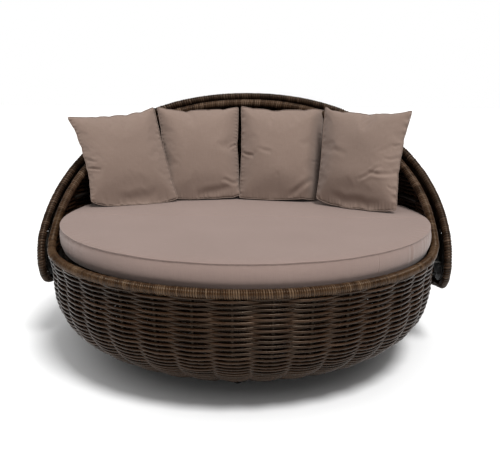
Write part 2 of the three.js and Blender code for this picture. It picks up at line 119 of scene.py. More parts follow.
class Net:
    """Collects strands into one mesh."""

    def __init__(self):
        self.V, self.Q, self.T, self.tone, self.n = [], [], [], [], 0

    def strand(self, P, N, rn, rb, sides=7, closed=False, tone=0.5, turn=0.0):
        P, N = np.asarray(P, float), np.asarray(N, float)
        n = len(P)
        if n < 2:
            return
        tan = (np.roll(P, -1, 0) - np.roll(P, 1, 0)) if closed else np.gradient(P, axis=0)
        tan = unit(tan)
        N = unit(N - (N * tan).sum(1, keepdims=True) * tan)
        B = np.cross(tan, N)
        a = 2 * np.pi * np.arange(sides) / sides + turn
        rn = np.broadcast_to(np.asarray(rn, float), (n,))[:, None, None]
        rb = np.broadcast_to(np.asarray(rb, float), (n,))[:, None, None]
        ring = P[:, None] + rn * np.cos(a)[None, :, None] * N[:, None] + rb * np.sin(a)[None, :, None] * B[:, None]
        i = np.arange(n if closed else n - 1)[:, None]
        j = np.arange(sides)[None, :]
        i2, j2 = (i + 1) % n, (j + 1) % sides
        q = np.stack([i * sides + j, i * sides + j2, i2 * sides + j2, i2 * sides + j], -1).reshape(-1, 4) + self.n
        self.Q.append(q)
        V = ring.reshape(-1, 3)
        if not closed:
            j = np.arange(sides)
            V = np.vstack([V, P[0], P[-1]])
            c0, c1 = n * sides, n * sides + 1
            self.T.append(np.stack([np.full(sides, c0), (j + 1) % sides, j], -1) + self.n)
            e = (n - 1) * sides
            self.T.append(np.stack([np.full(sides, c1), e + j, e + (j + 1) % sides], -1) + self.n)
        self.V.append(V)
        t = np.asarray(tone, float)
        if t.ndim:
            t = np.repeat(t, sides)
            if not closed:
                t = np.concatenate([t, [t[0], t[-1]]])
        self.tone.append(np.broadcast_to(t, (len(V),)))
        self.n += len(V)

    def make(self, name):
        T = np.concatenate(self.T) if self.T else ()
        return new_mesh(name, as_row(np.concatenate(self.V)), np.concatenate(self.Q), T, np.concatenate(self.tone))


def bound(name, ob, material, body, slot, *replaced):
    ob.data.materials.clear()
    ob.data.materials.append(material)
    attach(ob, body)
    if replaced:
        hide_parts(*replaced)
    return ob


# ------------------------------------------------------------------ materials
class Tree:
    def __init__(self, name):
        self.mat = bpy.data.materials.new(name)
        self.mat.use_nodes = True
        self.nt = self.mat.node_tree
        self.nt.nodes.clear()
        self.out = self.nt.nodes.new("ShaderNodeOutputMaterial")
        self.b = self.nt.nodes.new("ShaderNodeBsdfPrincipled")
        self.nt.links.new(self.b.outputs[0], self.out.inputs[0])
        self.coord = self.nt.nodes.new("ShaderNodeTexCoord").outputs["Object"]

    def node(self, kind, **props):
        n = self.nt.nodes.new(kind)
        for k, v in props.items():
            setattr(n, k, v)
        return n

    def link(self, a, b):
        self.nt.links.new(a, b)

    def attr(self, name, out="Fac"):
        n = self.node("ShaderNodeAttribute")
        n.attribute_name = name
        return n.outputs[out]

    def noise(self, scale, detail=3.0, rough=0.5, vector=None, distort=0.0):
        n = self.node("ShaderNodeTexNoise")
        self.link(vector or self.coord, n.inputs["Vector"])
        n.inputs["Scale"].default_value = scale
        n.inputs["Detail"].default_value = detail
        n.inputs["Roughness"].default_value = rough
        n.inputs["Distortion"].default_value = distort
        return n.outputs["Fac"]

    def math(self, op, a, b=None, c=None, clamp=False):
        n = self.node("ShaderNodeMath", operation=op, use_clamp=clamp)
        for k, v in enumerate((a, b, c)):
            if v is None:
                continue
            if isinstance(v, (int, float)):
                n.inputs[k].default_value = v
            else:
                self.link(v, n.inputs[k])
        return n.outputs[0]

    def ramp(self, fac, stops):
        n = self.node("ShaderNodeValToRGB")
        e = n.color_ramp.elements
        while len(e) < len(stops):
            e.new(0.5)
        for el, (p, col) in zip(e, stops):
            el.position = p
            el.color = (*col, 1.0)
        self.link(fac, n.inputs["Fac"])
        return n.outputs["Color"]

    def mix(self, fac, a, b, kind="MIX"):
        n = self.node("ShaderNodeMix", data_type="RGBA", blend_type=kind)
        if isinstance(fac, (int, float)):
            n.inputs[0].default_value = fac
        else:
            self.link(fac, n.inputs[0])
        for k, v in ((6, a), (7, b)):
            if isinstance(v, tuple):
                n.inputs[k].default_value = (*v, 1.0)
            else:
                self.link(v, n.inputs[k])
        return n.outputs[2]

    def rng(self, v, a, b, lo, hi):
        n = self.node("ShaderNodeMapRange")
        self.link(v, n.inputs["Value"])
        for k, x in (("From Min", a), ("From Max", b), ("To Min", lo), ("To Max", hi)):
            n.inputs[k].default_value = x
        return n.outputs["Result"]

    def bump(self, height, strength, distance, below=None):
        n = self.node("ShaderNodeBump")
        n.inputs["Strength"].default_value = strength
        n.inputs["Distance"].default_value = distance
        self.link(height, n.inputs["Height"])
        if below is not None:
            self.link(below, n.inputs["Normal"])
        return n.outputs["Normal"]

    def finish(self, color=None, rough=None, normal=None, **fixed):
        if color is not None:
            self.link(color, self.b.inputs["Base Color"])
        if rough is not None:
            self.link(rough, self.b.inputs["Roughness"])
        if normal is not None:
            self.link(normal, self.b.inputs["Normal"])
        for k, v in fixed.items():
            self.b.inputs[k.replace("_", " ")].default_value = v
        return self.mat


def wicker_material(name, dark, mid, light, rough=0.42, lift=1.0, bias=(0.50, 0.36, 0.14)):
    """Round extruded strand: a tone for each strand, slow patches, fine drawn grain and a few pale scuffs. The tone
    also carries painted shade, set where some strands are built.
    """
    t = Tree(name)
    tone = t.attr("tone")
    patch = t.noise(7.0, 4.0, 0.55)
    fine = t.noise(260.0, 3.0, 0.6)
    f = t.math("ADD", t.math("MULTIPLY", tone, bias[0]), t.math("MULTIPLY", patch, bias[1]))
    f = t.math("ADD", f, t.math("MULTIPLY", fine, bias[2]))
    col = t.ramp(f, [(0.18, dark), (0.52, mid), (0.86, light)])
    scuff = t.rng(t.noise(210.0, 4.0, 0.65), 0.60, 0.72, 0.0, 0.55)
    col = t.mix(scuff, col, tuple(min(1.0, c * 1.7 + 0.008) for c in light))
    r = t.rng(t.noise(48.0, 3.0, 0.6), 0.3, 0.7, rough - 0.09, rough + 0.14)
    grain = t.noise(700.0, 2.0, 0.6)
    n1 = t.bump(grain, 0.25 * lift, 0.0004)
    n2 = t.bump(fine, 0.30 * lift, 0.0009, n1)
    return t.finish(col, r, n2, Specular_IOR_Level=0.27, Specular_Tint=(1.0, 0.80, 0.62, 1.0))


def fabric_material(name, base, low, high, thread=0.00125):
    """Outdoor canvas in a plain weave: crossed threads in the bump, flecked yarn, a faint sheen."""
    t = Tree(name)
    w = t.attr("weave", "Vector")
    sep = t.node("ShaderNodeSeparateXYZ")
    t.link(w, sep.inputs[0])
    k = 2 * math.pi / (2 * thread)
    su = t.math("SINE", t.math("MULTIPLY", sep.outputs[0], k))
    sv = t.math("SINE", t.math("MULTIPLY", sep.outputs[1], k))
    cross = t.math("MULTIPLY", su, sv)
    height = t.math("MULTIPLY_ADD", cross, 0.5, 0.5)
    slub_u = t.node("ShaderNodeMapping")
    slub_u.inputs["Scale"].default_value = (18.0, 520.0, 1.0)
    t.link(w, slub_u.inputs["Vector"])
    slub_v = t.node("ShaderNodeMapping")
    slub_v.inputs["Scale"].default_value = (520.0, 18.0, 1.0)
    t.link(w, slub_v.inputs["Vector"])
    nu = t.noise(1.0, 3.0, 0.6, slub_u.outputs[0])
    nv = t.noise(1.0, 3.0, 0.6, slub_v.outputs[0])
    yarn = t.math("ADD", nu, nv)
    soft = t.noise(3.2, 4.0, 0.55)
    f = t.math("ADD", t.math("MULTIPLY", yarn, 0.42), t.math("MULTIPLY", soft, 0.30))
    f = t.math("ADD", f, t.math("MULTIPLY", height, 0.06))
    col = t.ramp(f, [(0.30, low), (0.56, base), (0.82, high)])
    r = t.rng(soft, 0.3, 0.7, 0.84, 0.93)
    n1 = t.bump(height, 0.30, 0.00035)
    n2 = t.bump(yarn, 0.18, 0.0005, n1)
    return t.finish(col, r, n2, Specular_IOR_Level=0.25, Sheen_Weight=0.18, Sheen_Roughness=0.5)


def coated_metal(name, base, chip, rough=0.45):
    """Powder-coated steel: orange-peel bump, patchy gloss, rubbed places."""
    t = Tree(name)
    peel = t.noise(380.0, 2.0, 0.5)
    patch = t.noise(9.0, 4.0, 0.6)
    col = t.ramp(patch, [(0.3, tuple(c * 0.75 for c in base)), (0.7, base)])
    rub = t.rng(t.noise(60.0, 6.0, 0.75), 0.68, 0.76, 0.0, 0.5)
    col = t.mix(rub, col, chip)
    r = t.rng(patch, 0.3, 0.7, rough - 0.07, rough + 0.1)
    return t.finish(col, r, t.bump(peel, 0.22, 0.0005), Metallic=0.10, Specular_IOR_Level=0.3)


def steel_material(name):
    t = Tree(name)
    m = t.node("ShaderNodeMapping")
    m.inputs["Scale"].default_value = (1.0, 14.0, 14.0)
    t.link(t.coord, m.inputs["Vector"])
    lines = t.noise(160.0, 4.0, 0.65, m.outputs[0])
    stain = t.noise(30.0, 4.0, 0.6)
    col = t.ramp(stain, [(0.3, (0.045, 0.043, 0.040)), (0.7, (0.085, 0.081, 0.076))])
    r = t.rng(lines, 0.3, 0.7, 0.42, 0.60)
    return t.finish(col, r, t.bump(lines, 0.2, 0.0003), Metallic=1.0)


def plastic_material(name):
    t = Tree(name)
    g = t.noise(900.0, 2.0, 0.5)
    patch = t.noise(40.0, 4.0, 0.6)
    col = t.ramp(patch, [(0.3, (0.006, 0.006, 0.006)), (0.75, (0.017, 0.016, 0.015))])
    r = t.rng(patch, 0.3, 0.7, 0.42, 0.6)
    return t.finish(col, r, t.bump(g, 0.3, 0.0004), Specular_IOR_Level=0.45)


BANDED = (0.66, 0.20, 0.14)
WICKER = wicker_material("wicker_strand", (0.0052, 0.0021, 0.0009), (0.0215, 0.0096, 0.0044), (0.0620, 0.0355, 0.0215), 0.29)
# painted shade: the stakes take the strand's colours much darkened, for the shade they stand in behind the strands
STAKE = wicker_material("wicker_stake_painted_shade", (0.003, 0.0014, 0.0008), (0.007, 0.0036, 0.0020), (0.014, 0.0080, 0.0048), 0.5)
HOODW = wicker_material("wicker_hood", (0.0050, 0.0022, 0.0011), (0.0190, 0.0096, 0.0052), (0.0460, 0.0265, 0.0165), 0.32)
WRAP = wicker_material("wicker_wrap_rim", (0.010, 0.0038, 0.0013), (0.043, 0.0208, 0.0088), (0.108, 0.0690, 0.0400), 0.32, 1.0, BANDED)
WRAP_ARCH = wicker_material("wicker_wrap_arch", (0.010, 0.0042, 0.0019), (0.054, 0.0290, 0.0158), (0.128, 0.0840, 0.0560), 0.32, 1.0, BANDED)
WRAP_HOOD = wicker_material("wicker_wrap_hood", (0.0056, 0.0026, 0.0014), (0.029, 0.0152, 0.0086), (0.074, 0.0460, 0.0300), 0.34, 1.0, BANDED)
FRAME = coated_metal("brown_powder_coat", (0.0090, 0.0068, 0.0052), (0.030, 0.025, 0.020))
SLAT = coated_metal("slat_coat", (0.014, 0.0090, 0.0060), (0.045, 0.032, 0.024), 0.55)
STEEL = steel_material("stainless")
PLASTIC = plastic_material("black_moulded")
MATTRESS = fabric_material("canvas_mattress", (0.212, 0.152, 0.131), (0.184, 0.131, 0.112), (0.242, 0.176, 0.154))
PILLOW = fabric_material("canvas_pillow", (0.192, 0.137, 0.110), (0.165, 0.117, 0.093), (0.220, 0.159, 0.130))

# ------------------------------------------------------------------ the frame's surfaces, mm about the bowl's axis
RIM_R, RIM_Z, TUBE = 880.0, 527.0, 20.0
ARCH_A, ARCH_P, ARCH_Y, ARCH_Z, LEAN = 888.0, 2.09, -41.0, 560.0, 50 * D
HOOD_A, HOOD_P, HOOD_RE = 961.0, 2.13, 140.0
PIV_Y, PIV_Z = 107.0, 435.0
T_JOIN = 0.045


def arch_at(t):
    a = np.asarray(t, float) * np.pi
    c, s = np.cos(a), np.clip(np.sin(a), 0, None)
    v = ARCH_A * s ** (2 / ARCH_P)
    return np.stack([ARCH_A * np.sign(c) * np.abs(c) ** (2 / ARCH_P), ARCH_Y + v * math.sin(LEAN), ARCH_Z + v * math.cos(LEAN)], -1)


def catmull(pts, n=14):
    """A smooth line through the points, chord-length Hermite."""
    P = np.asarray(pts, float)
    d = np.linalg.norm(np.diff(P, axis=0), axis=1)
    m = np.zeros_like(P)
    m[1:-1] = ((P[2:] - P[1:-1]) / d[1:, None] * d[:-1, None] + (P[1:-1] - P[:-2]) / d[:-1, None] * d[1:, None]) / (d[1:] + d[:-1])[:, None]
    m[0], m[-1] = (P[1] - P[0]) / d[0], (P[-1] - P[-2]) / d[-1]
    out = []
    for i in range(len(P) - 1):
        s = np.linspace(0, 1, n, endpoint=False)[:, None]
        out.append((2 * s**3 - 3 * s**2 + 1) * P[i] + (s**3 - 2 * s**2 + s) * d[i] * m[i] + (-2 * s**3 + 3 * s**2) * P[i + 1] + (s**3 - s**2) * d[i] * m[i + 1])
    return np.vstack(out + [P[-1:]])


def resample(P, step):
    d = np.concatenate([[0], np.cumsum(np.linalg.norm(np.diff(P, axis=0), axis=1))])
    n = max(2, int(round(d[-1] / step)) + 1)
    s = np.linspace(0, d[-1], n)
    return np.stack([np.interp(s, d, P[:, k]) for k in range(3)], -1), s


def carried(P):
    """Frames along a line that don't spin about it."""
    tan = unit(np.gradient(P, axis=0))
    n = np.cross(tan[0], (0.0, 0.0, 1.0))
    if np.linalg.norm(n) < 1e-3:
        n = np.cross(tan[0], (1.0, 0.0, 0.0))
    n /= np.linalg.norm(n)
    N = [n]
    for t in tan[1:]:
        n = n - t * n.dot(t)
        n = n / np.linalg.norm(n)
        N.append(n)
    N = np.array(N)
    return tan, N, np.cross(tan, N)


def wrapped_tube(name, line, seed, R=TUBE, pitch=8.8, depth=3.6, sides=18, per=7, hand=1):
    """A tube bound closely with round strand: each turn is a real ridge on a helix."""
    r = np.random.default_rng(seed)
    P, s = resample(line, pitch / per)
    tan, N, B = carried(P)
    n = len(P)
    phi = 2 * np.pi * np.arange(sides) / sides
    loose = np.interp(s, np.arange(0, s[-1] + 60, 30), r.normal(0, 0.16, int((s[-1] + 60) // 30) + 1)[: len(np.arange(0, s[-1] + 60, 30))])
    q = s[:, None] / pitch + loose[:, None] - hand * phi[None, :] / (2 * np.pi)
    k = np.round(q)
    f = np.abs(q - k) * 2
    prof = 0.55 * f * f + 0.45 * (1 - np.sqrt(np.clip(1 - 0.97 * f * f, 0, 1)))
    table = r.random(int(s[-1] / pitch) + 12)
    # turns laid from one length of strand share its tone
    run = np.repeat(r.random(len(table)), r.integers(1, 4, len(table)))[: len(table)]
    table = 0.5 * table + 0.5 * run
    table = np.clip(0.5 + 1.5 * (table - 0.5), 0, 1)
    proud = r.normal(0, 0.55, len(table))
    idx = np.clip(k.astype(int) + 4, 0, len(table) - 1)
    rad = R - depth * prof + np.clip(proud[idx], -1.0, 0.6) * (1 - prof) - 0.3
    V = P[:, None] + rad[..., None] * (np.cos(phi)[None, :, None] * N[:, None] + np.sin(phi)[None, :, None] * B[:, None])
    i = np.arange(n - 1)[:, None]
    j = np.arange(sides)[None, :]
    Q = np.stack([i * sides + j, i * sides + (j + 1) % sides, (i + 1) * sides + (j + 1) % sides, (i + 1) * sides + j], -1).reshape(-1, 4)
    c0, c1 = n * sides, n * sides + 1
    j = np.arange(sides)
    e = (n - 1) * sides
    T = np.vstack([np.stack([np.full(sides, c0), (j + 1) % sides, j], -1), np.stack([np.full(sides, c1), e + j, e + (j + 1) % sides], -1)])
    # painted shade: the tone darkens towards the groove between turns
    tone = (0.22 + 0.78 * table[idx]) * np.clip(1 - 1.25 * prof, 0, 1)
    V = np.vstack([V.reshape(-1, 3), P[0], P[-1]])
    return new_mesh(name, as_row(V), Q, T, np.concatenate([tone.ravel(), [0.5, 0.5]]))


# ------------------------------------------------------------------ wrapped tubes
rim_pts = [arch_at(T_JOIN), arch_at(0.025), (881.5, -104, RIM_Z + 6)]
for a in range(78, -79, -6):
    rim_pts.append((RIM_R * math.sin(a * D), -RIM_R * math.cos(a * D), RIM_Z))
rim_pts += [(-881.5, -104, RIM_Z + 6)] + [(-p[0], p[1], p[2]) for p in (arch_at(0.025), arch_at(T_JOIN))]
bound("rim", wrapped_tube("wrapped_rim", catmull(rim_pts), 11, pitch=9.2, depth=3.9), WRAP, "base", "wicker_wrap", "rim_tube")
arch_line = arch_at(np.linspace(T_JOIN, 1 - T_JOIN, 700))
bound("arch", wrapped_tube("wrapped_backrest_arch", arch_line, 12, pitch=10.6, depth=4.1, per=8, hand=-1), WRAP_ARCH, "base", "wicker_wrap", "backrest_arch_tube")

HF, HR = 50 * D, 100 * D


def hood_arch(t, lean, n):
    a = np.asarray(t, float) * np.pi
    c, s = np.cos(a), np.clip(np.sin(a), 0, None)
    v = HOOD_A * s ** (2 / HOOD_P)
    return np.stack([HOOD_A * np.sign(c) * np.abs(c) ** (2 / HOOD_P), PIV_Y + HOOD_RE * n[0] + v * math.sin(lean), PIV_Z + HOOD_RE * n[1] + v * math.cos(lean)], -1)


end_a = np.linspace(130, 260, 60)[1:] * D
end = np.stack([np.full(len(end_a), HOOD_A), PIV_Y + HOOD_RE * np.cos(end_a), PIV_Z + HOOD_RE * np.sin(end_a)], -1)
front = hood_arch(np.linspace(0, 1, 800), HF, (-math.cos(HF), math.sin(HF)))
hood_line = np.vstack([end[::-1], front, end * (-1, 1, 1)])
bound("hood_front", wrapped_tube("wrapped_hood_front", hood_line, 13, pitch=12.8, depth=4.3, per=9), WRAP_HOOD, "hood", "wicker_wrap", "hood_front_tube")
rear = hood_arch(np.linspace(0.004, 0.996, 700), HR, (math.cos(HR), -math.sin(HR)))
bound("hood_rear", wrapped_tube("wrapped_hood_rear", rear, 14, pitch=12.8, depth=4.3, per=8, sides=16, hand=-1), WRAP_HOOD, "hood", "wicker_wrap", "hood_rear_tube")

# ------------------------------------------------------------------ woven bowl and backrest
# one outline for both, from the bottom ring up over the backrest to the arch's top: radius, height
a_ = np.linspace(90, 0, 220) * D
bowl_prof = np.stack([378 + 498 * np.clip(np.cos(a_), 0, 1) ** (2 / 1.857), 438 - 394 * np.clip(np.sin(a_), 0, 1) ** (2 / 2.989)], -1)
xs_ = np.concatenate([np.linspace(884, 860, 8), np.linspace(850, 0, 120)])
v_ = ARCH_A * (1 - (xs_ / ARCH_A) ** ARCH_P) ** (1 / ARCH_P)
ay_, az_ = ARCH_Y + v_ * math.sin(LEAN), ARCH_Z + v_ * math.cos(LEAN)
back_prof = np.stack([np.hypot(xs_, ay_), az_], -1)
back_prof = back_prof[back_prof[:, 1] > 600]
PROF = np.vstack([bowl_prof, [(879.5, 470), (882.0, 505), (883.6, 535), (884.8, 562), (884.4, 583)], back_prof])
PROF_S = np.concatenate([[0], np.cumsum(np.linalg.norm(np.diff(PROF, axis=0), axis=1))])
_s = np.linspace(0, PROF_S[-1], 900)
_r, _z = np.interp(_s, PROF_S, PROF[:, 0]), np.interp(_s, PROF_S, PROF[:, 1])
for _ in range(30):   # soften the polyline
    _r[1:-1] = (_r[:-2] + 2 * _r[1:-1] + _r[2:]) / 4
    _z[1:-1] = (_z[:-2] + 2 * _z[1:-1] + _z[2:]) / 4
_t = unit(np.stack([np.gradient(_r), np.gradient(_z)], -1))
_nr, _nz = _t[:, 1], -_t[:, 0]


def on_bowl(s, th, off):
    """Point and outward normal at outline length s, azimuth th in radians from the front, off mm outside the middle of the weave."""
    r, z = np.interp(s, _s, _r), np.interp(s, _s, _z)
    nr, nz = np.interp(s, _s, _nr), np.interp(s, _s, _nz)
    q = r + off * nr
    return np.stack([q * np.sin(th), -q * np.cos(th), z + off * nz], -1), np.stack([nr * np.sin(th), -nr * np.cos(th), nz], -1)


def s_of_z(z):
    return float(np.interp(z, _z[150:], _s[150:]))


S_TOP = s_of_z(509.0)
SET_IN = 9.0           # the bowl's outline runs halfway between the crests and hollows of its weave


def set_in(s):
    return -SET_IN * np.clip((S_TOP - np.asarray(s, float)) / 60.0, 0, 1)


PITCH = 10.75
STEP = 10.0            # degrees between stakes
AMP, RN = 8.7, 5.1


def over(phase):
    c = np.cos(phase)
    return np.tanh(0.85 * c) / math.tanh(0.85)


def shade_behind_stakes(in_out):
    """Tone along a strand: painted shade, darker where it dips behind the stakes; where it stands out it keeps its
    tone.
    """
    return 1 - 0.95 * np.clip(-0.05 - in_out, 0, 1)


def shade_low_rows(h):
    """Painted shade: the lower rows are darkened, down to a small part of their tone; the upper rows keep nearly all of
    it.
    """
    return float(np.interp(h, [0.15, 0.5, 0.9], [0.08, 0.62, 0.98]))


def spread(phase, side, hidden):
    """Half height of a strand along its way: pressed a little flat, fullest where it runs on the hidden side (+1 outside, -1 inside)."""
    w = side * over(phase)
    return (1.27 if hidden > 0 else 1.20) - 0.10 * np.clip(w, 0, 1) + (0.92 if hidden < 0 else 0.0) * np.clip(-w, 0, 1) ** 1.6 + (0.98 if hidden > 0 else 0.0) * np.clip(w, 0, 1)


def wobble(r, th, size, ks=(1, 2, 3, 5, 8)):
    w = np.zeros_like(th)
    for k in ks:
        w += r.normal(0, size / math.sqrt(len(ks))) * np.cos(k * th + r.uniform(0, 2 * np.pi))
    return w


rng = np.random.default_rng(31)
N_TH = 36 * 7
th_all = np.arange(N_TH) * 2 * np.pi / N_TH
rows = int(S_TOP / PITCH)
S0 = S_TOP - rows * PITCH + 0.5
low, high = Net(), Net()
for i in range(rows + 1):
    s = S0 + i * PITCH + wobble(rng, th_all, 0.7) + 0.5 * np.cos(36 * th_all + rng.uniform(0, 6.28)) * rng.normal(0, 0.6)
    side = 1 if i % 2 else -1
    amp = AMP * (1 + 0.10 * wobble(rng, th_all, 1.0, (3, 7, 11, 17)))
    in_out = side * over(np.pi * th_all / (STEP * D))
    P, N = on_bowl(np.clip(s, 0, None), th_all, set_in(s) + amp * in_out)
    rad = RN * (1 + rng.normal(0, 0.03))
    # painted shade: the tone darkens where a strand dips behind the stakes and on the lower rows
    tone = np.clip(rng.uniform(0.1, 0.9) + wobble(rng, th_all, 0.12, (2, 5, 9, 14)), 0, 1) * shade_behind_stakes(in_out) * shade_low_rows(i / rows)
    (low if i < rows // 2 else high).strand(P, N, rad, rad * spread(np.pi * th_all / (STEP * D), side, -1), 8, True, tone)
# closing ring round the opening under the bowl
P, N = on_bowl(np.full(N_TH, 0.5), th_all, -SET_IN + 2.0)
low.strand(P, N, 8.5, 7.0, 8, True, 0.4)
bound("bowl", low.make("bowl_strands_lower"), WICKER, "base", "wicker", "bowl_weave")
bound("bowl", high.make("bowl_strands_upper"), WICKER, "base", "wicker")

stakes = Net()
for k in range(36):
    th = k * STEP * D
    s = np.linspace(2, S_TOP + 2, 70)
    P, N = on_bowl(s, np.full(70, th), set_in(s))
    stakes.strand(P, N, 6.2, 7.5, 8, False, rng.uniform(0.2, 0.8))
bound("stakes", stakes.make("bowl_stakes"), STAKE, "base", "wicker")


def back_edge_y(z):
    """Where the arch, or the rim under it, stands at this height."""
    z = np.asarray(z, float)
    up = ARCH_Y + (z - ARCH_Z) * math.tan(LEAN)
    low_ = np.interp(z, [505, 527, 533, 560], [-215, -183, -104, -41])
    return np.where(z < 560, low_, up)


back = Net()
i = 0
s_end = float(np.interp(1126, _z, _s))
while True:
    s = S0 + (rows + 1 + i) * PITCH
    side = 1 if (rows + 1 + i) % 2 else -1
    i += 1
    if s > s_end:
        break
    r, z = float(np.interp(s, _s, _r)), float(np.interp(s, _s, _z))
    y = float(back_edge_y(z)) + 3.0
    if y >= r - 2:
        break
    th0 = math.acos(max(-1.0, min(1.0, -y / r)))
    span = 2 * (np.pi - th0)
    n = max(6, int(span / (STEP * D) * 8))
    th = np.linspace(th0, 2 * np.pi - th0, n)
    w = wobble(rng, th, 0.7)
    amp = AMP * (1 + 0.10 * wobble(rng, th, 1.0, (3, 7, 11, 17)))
    ends = np.clip(np.minimum(th - th0, 2 * np.pi - th0 - th) * r / 26.0, 0, 1)     # strands pull in where they meet the arch
    in_out = side * over(np.pi * th / (STEP * D))
    P, N = on_bowl(s + w * ends, th, amp * in_out * ends)
    rad = RN * (1 + rng.normal(0, 0.03))
    tone = np.clip(rng.uniform(0.1, 0.9) + wobble(rng, th, 0.12, (2, 5, 9, 14)), 0, 1) * (1 - 0.4 * np.clip(np.abs(in_out), 0, 1))
    back.strand(P, N, rad, rad * spread(np.pi * th / (STEP * D), side, 1), 8, False, tone)
bound("back", back.make("backrest_strands"), WICKER, "base", "wicker", "backrest_weave")

bst = Net()
for k in range(36):
    th = k * STEP * D
    s = np.linspace(S_TOP + 2, s_end, 160)
    P, N = on_bowl(s, np.full(160, th), 0.0)
    ok = P[:, 1] > back_edge_y(P[:, 2]) + 1.0
    if ok.sum() > 3:
        last = len(ok) if ok.all() else int(np.argmin(ok)) if ok[0] else 0
        if last > 3:
            bst.strand(P[:last:2], N[:last:2], 6.2, 7.5, 8, False, rng.uniform(0.2, 0.8))
bound("bst", bst.make("backrest_stakes"), STAKE, "base", "wicker")

# ------------------------------------------------------------------ woven hood
hx = HOOD_A * np.sin(np.linspace(-np.pi / 2, np.pi / 2, 1601))
hv = HOOD_A * np.clip(1 - np.abs(hx / HOOD_A) ** HOOD_P, 0, None) ** (1 / HOOD_P)
hR = np.hypot(hv, HOOD_RE)
hU = np.concatenate([[0], np.cumsum(np.hypot(np.diff(hx), np.diff(hR)))])
hU -= hU[len(hU) // 2]
U_END = hU[-1]
hT = unit(np.stack([np.gradient(hx), np.gradient(hR)], -1))
N_HOOD = 104


def on_hood(u, t, off):
    x, R, v = np.interp(u, hU, hx), np.interp(u, hU, hR), np.interp(u, hU, hv)
    tx, tr = np.interp(u, hU, hT[:, 0]), np.interp(u, hU, hT[:, 1])
    nx, nr = -tr, tx
    k = np.arctan2(HOOD_RE, v)
    a1, a0 = 40 * D + k, -10 * D - k
    al = a0 + (a1 - a0) * t
    q = R + off * nr
    P = np.stack([x + off * nx, PIV_Y + q * np.cos(al), PIV_Z + q * np.sin(al)], -1)
    N = np.stack([nx, nr * np.cos(al), nr * np.sin(al)], -1)
    return P, N, R * (a1 - a0) / N_HOOD


N_STAKES = 20
U_STEP = 2 * U_END / N_STAKES
HAMP, HRN = 6.6, 4.7
hood_l, hood_m, hood_r = Net(), Net(), Net()
u_all = np.linspace(-U_END, U_END, N_STAKES * 8 + 1)
third = len(u_all) // 3
for i in range(2, N_HOOD - 1):
    t = (i + 0.0) / N_HOOD
    side = 1 if i % 2 else -1
    w = wobble(rng, u_all / 460.0, 0.6 / 1130.0)
    tone = np.clip(rng.uniform(0.1, 0.9) + wobble(rng, u_all / 460.0, 0.12, (2, 5, 9, 14)), 0, 1)
    amp = HAMP * (1 + 0.08 * wobble(rng, u_all / 460.0, 1.0, (3, 7, 11)))
    fade = np.clip((U_END - np.abs(u_all)) / 90.0, 0, 1)
    P, N, gap = on_hood(u_all, t + w, side * amp * over(np.pi * u_all / U_STEP) * fade)
    rb = np.minimum(HRN * 1.38, 0.66 * gap) * (1 + 0.66 * np.clip(side * over(np.pi * u_all / U_STEP), 0, 1))
    net = hood_l if i < N_HOOD // 3 else hood_m if i < 2 * N_HOOD // 3 else hood_r
    net.strand(P, N, HRN, rb, 6, False, tone)
for s in (-1, 1):      # rounds that close each end about its hub
    a = np.linspace(0, 2 * np.pi, 64, endpoint=False)
    for k, R in enumerate((135.0, 126.5, 118.4)):
        P = np.stack([np.full(64, s * 962.0), PIV_Y + R * np.cos(a), PIV_Z + R * np.sin(a)], -1)
        hood_l.strand(P, np.tile((float(s), 0.0, 0.0), (64, 1)), 4.8, 4.8, 6, True, 0.3 + 0.3 * k)
bound("hood", hood_l.make("hood_strands_rear"), HOODW, "hood", "wicker", "hood_weave")
bound("hood", hood_m.make("hood_strands_middle"), HOODW, "hood", "wicker")
bound("hood", hood_r.make("hood_strands_front"), HOODW, "hood", "wicker")
hst = Net()
for k in range(-N_STAKES // 2 + 1, N_STAKES // 2):
    u = np.full(60, k * U_STEP)
    P, N, _g = on_hood(u, np.linspace(0.012, 0.988, 60), np.zeros(60))
    hst.strand(P, N, 4.4, 5.6, 8, False, rng.uniform(0.2, 0.8))
bound("hst", hst.make("hood_stakes"), STAKE, "hood", "wicker")

for s, tag in ((-1, "left"), (1, "right")):
    disc = Net()
    for k in range(11):
        R = 9.5 + k * 10.1
        n = max(24, int(2 * np.pi * R / 6))
        a = np.arange(n) * 2 * np.pi / n
        off = (1 if k % 2 else -1) * 2.6 * np.cos(8 * a) * min(1.0, R / 40)
        P = np.stack([s * (967.0 + off), PIV_Y + R * np.cos(a), PIV_Z + R * np.sin(a)], -1)
        disc.strand(P, np.tile((float(s), 0.0, 0.0), (n, 1)), 4.4, 5.0, 7, True, rng.uniform(0.2, 0.8))
    for k in range(8):
        a = (k + 0.5) * np.pi / 4
        R = np.linspace(14, 116, 20)
        P = np.stack([np.full(20, s * 966.0), PIV_Y + R * np.cos(a), PIV_Z + R * np.sin(a)], -1)
        disc.strand(P, np.tile((float(s), 0.0, 0.0), (20, 1)), 2.6, 4.4, 6, False, 0.1)
    a = np.arange(12) * 2 * np.pi / 12
    P = np.stack([np.full(12, s * 967.5), PIV_Y + 3.0 * np.cos(a), PIV_Z + 3.0 * np.sin(a)], -1)
    disc.strand(P, np.tile((float(s), 0.0, 0.0), (12, 1)), 3.6, 2.9, 6, True, 0.5)
    bound("disc", disc.make("hood_end_rounds_" + tag), HOODW, "hood", "wicker", "hood_end_weave_" + tag)

# ------------------------------------------------------------------ mattress
MX = 12.0              # it lies a little to one side of the bowl's axis
MATT_TOP = 641.0


def top_z(rho):
    """Height of the mattress's top at a distance from its middle."""
    k = np.clip(rho / 851.0, 0, 1)
    return 642.0 - 1.2 * k**2 - 6.2 * np.clip((k - 0.90) / 0.10, 0, 1) ** 2.6


